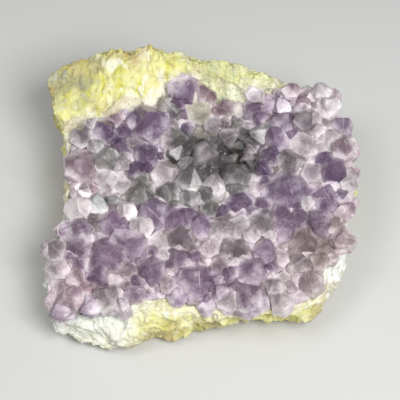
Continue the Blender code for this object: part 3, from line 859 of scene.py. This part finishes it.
def point_finish():
    """Clear violet quartz at the tips, clouded white towards the root, with pale worn edges."""
    material, nodes = new_material("amethyst")
    place = nodes.node("ShaderNodeTexCoord", output="Object")
    tone = nodes.own("tone", "Color")
    growth = nodes.own("growth")
    way_down = (1 - growth) * UNIT_LENGTH
    below_tip = way_down * nodes.own("radius")
    veil = place.noise(VEIL_SIZE, 4.0)
    wisp = place.noise(WISP_SIZE, 2.0)
    frost = place.noise(FROST_SIZE, 2.0, 0.7)
    far_off = from_pit(place).step(*PALE_REACH)
    milkiness = way_down.step(*VEIL_REACH) + (nodes.own("milk") - TYPICAL_MILK) * 0.9 + far_off * 0.15
    milkiness = milkiness + nodes.own("frosting") * FACE_FROSTING
    milkiness = milkiness + (veil - 0.5) * 3.2 + (wisp - 0.5) * 0.9 + (frost - 0.5) * 0.9
    cloud = milkiness.step(-0.4, 1.7)

    veiled = nodes.vector_math("MULTIPLY_ADD", {0: tone, 1: HALF_TONE, 2: MILKY_GREY})
    colour = cloud.mixed(tone, veiled)
    colour = (milkiness.step(1.1, 1.9) * 0.7).mixed(colour, WHITE_VEIL)
    low = place.part("Y").step(*LOW_REACH)
    colour = (low * 0.15).mixed(colour, ROSE_TINT)
    low_right = place.part("X").step(*RIGHT_REACH) * low
    colour = (low_right * 0.3).mixed(colour, IRON_STAIN)
    rim = nodes.own("edge") * (1 - growth.step(0.50, 0.68))
    colour = (rim * 0.4).mixed(colour, PALE_EDGE)
    pit = pit_share(place)
    colour = (pit * 0.5).mixed(colour, PIT_GREY)
    # Painted shade low on each point between its neighbours, weaker at the crust's edge.
    crevice_shade = way_down.step(*CREVICE_REACH) * nodes.own("crowded")
    colour = (crevice_shade * 0.5).mixed(colour, CREVICE_SHADE_BROWN)
    # Painted shade in the pit: black low between the points and deep below their tips.
    pit_shade = way_down.step(*PIT_SHADE_REACH) * pit * 0.85 + below_tip.step(*PIT_SHADE_DEPTH) * pit * 0.9
    colour = pit_shade.clamped().mixed(colour, PIT_SHADE_BLACK)

    relief = place.noise(RELIEF_SIZE, 4.0, 0.6)
    inputs = {"Height": relief, "Strength": 0.35, "Distance": RELIEF_DEPTH}
    surface = {
        "Roughness": veil.step(0.35, 0.75) * 0.18 + 0.22,
        "IOR": QUARTZ_IOR,
        "Normal": nodes.node("ShaderNodeBump", {}, inputs),
    }
    clear_inputs = surface | {
        "Base Color": (cloud * 0.6 + 0.3).mixed(tone, CLEAR_QUARTZ),
        "Transmission Weight": 1.0,
    }
    clear = nodes.node("ShaderNodeBsdfPrincipled", {}, clear_inputs)
    milky_inputs = surface | {
        "Base Color": colour,
        "Subsurface Weight": 0.2,
        "Subsurface Radius": GLOW_TINT,
        "Subsurface Scale": GLOW_DEPTH,
    }
    milky = nodes.node("ShaderNodeBsdfPrincipled", {}, milky_inputs)
    share = (cloud * 0.5 + 0.45).clamped()
    both = nodes.node("ShaderNodeMixShader", {}, {0: share, 1: clear, 2: milky})
    nodes.node("ShaderNodeOutputMaterial", {}, {"Surface": both})
    return material


crystals = bpy.data.collections.new("crystals")
for number in range(POINT_SHAPES):
    crystals.objects.link(crystal_shape(number))
growth_inputs = {"Crystals": crystals, "Unit length": UNIT_LENGTH, "Finish": point_finish()}
points = grown_piece("amethyst_points", points_mesh(), crystal_growth(), growth_inputs)
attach(points, "root")
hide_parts("amethyst_crust")


# The studio: a plain pale floor, a broad lamp at the front right, a weaker one on the left that makes the
# faces glint, and a camera that looks down on the crystal face from the front.

FLOOR_HALF_SIZE = 2.0
FLOOR_COLOUR = (0.60, 0.60, 0.59)
LAMPS = {
    # place, width, and power in watts
    "broad_lamp": (Vector((0.30, -0.40, 0.75)), 0.42, 6.9),
    "glint_lamp": (Vector((-0.30, -0.10, 0.70)), 0.30, 1.5),
}
SKY_COLOUR = (1.0, 1.0, 1.0, 1.0)
SKY_STRENGTH = 0.28
CAMERA_ELEVATION = math.radians(58)
CAMERA_DISTANCE = 0.795
CAMERA_LENS = 135
CAMERA_AIM = Vector((-0.8, -11.2, 43.1)) * MM


def add_floor():
    """The floor that the specimen lies on, which isn't part of it."""
    mesh = bpy.data.meshes.new("floor")
    size = FLOOR_HALF_SIZE
    corners = [(-size, -size, 0), (size, -size, 0), (size, size, 0), (-size, size, 0)]
    mesh.from_pydata(corners, [], [(0, 1, 2, 3)])
    floor = bpy.data.objects.new("floor", mesh)
    bpy.context.scene.collection.objects.link(floor)
    material, nodes = new_material("pale floor")
    inputs = {"Base Color": FLOOR_COLOUR, "Roughness": 0.8}
    paper = nodes.node("ShaderNodeBsdfPrincipled", {}, inputs)
    nodes.node("ShaderNodeOutputMaterial", {}, {"Surface": paper})
    mesh.materials.append(material)


def add_lamp(name, place, width, power):
    """A square lamp that faces the middle of the specimen."""
    light = bpy.data.lights.new(name, "AREA")
    light.size = width
    light.energy = power
    lamp = bpy.data.objects.new(name, light)
    lamp.location = place
    lamp.rotation_euler = (CAMERA_AIM - lamp.location).to_track_quat("-Z", "Y").to_euler()
    bpy.context.scene.collection.objects.link(lamp)


def add_camera():
    """A camera with a long lens, straight in front of the specimen and well above it."""
    camera = bpy.data.objects.new("camera", bpy.data.cameras.new("camera"))
    camera.data.lens = CAMERA_LENS
    back = Vector((0, -math.cos(CAMERA_ELEVATION), math.sin(CAMERA_ELEVATION)))
    camera.location = CAMERA_AIM + back * CAMERA_DISTANCE
    camera.rotation_euler = (-back).to_track_quat("-Z", "Y").to_euler()
    bpy.context.scene.collection.objects.link(camera)
    bpy.context.scene.camera = camera


add_floor()
for name, (place, width, power) in LAMPS.items():
    add_lamp(name, place, width, power)
add_camera()
world = bpy.data.worlds.new("studio")
world.use_nodes = True
sky = world.node_tree.nodes["Background"]
sky.inputs["Color"].default_value = SKY_COLOUR
sky.inputs["Strength"].default_value = SKY_STRENGTH
bpy.context.scene.world = world
bpy.context.scene.view_settings.view_transform = "Standard"
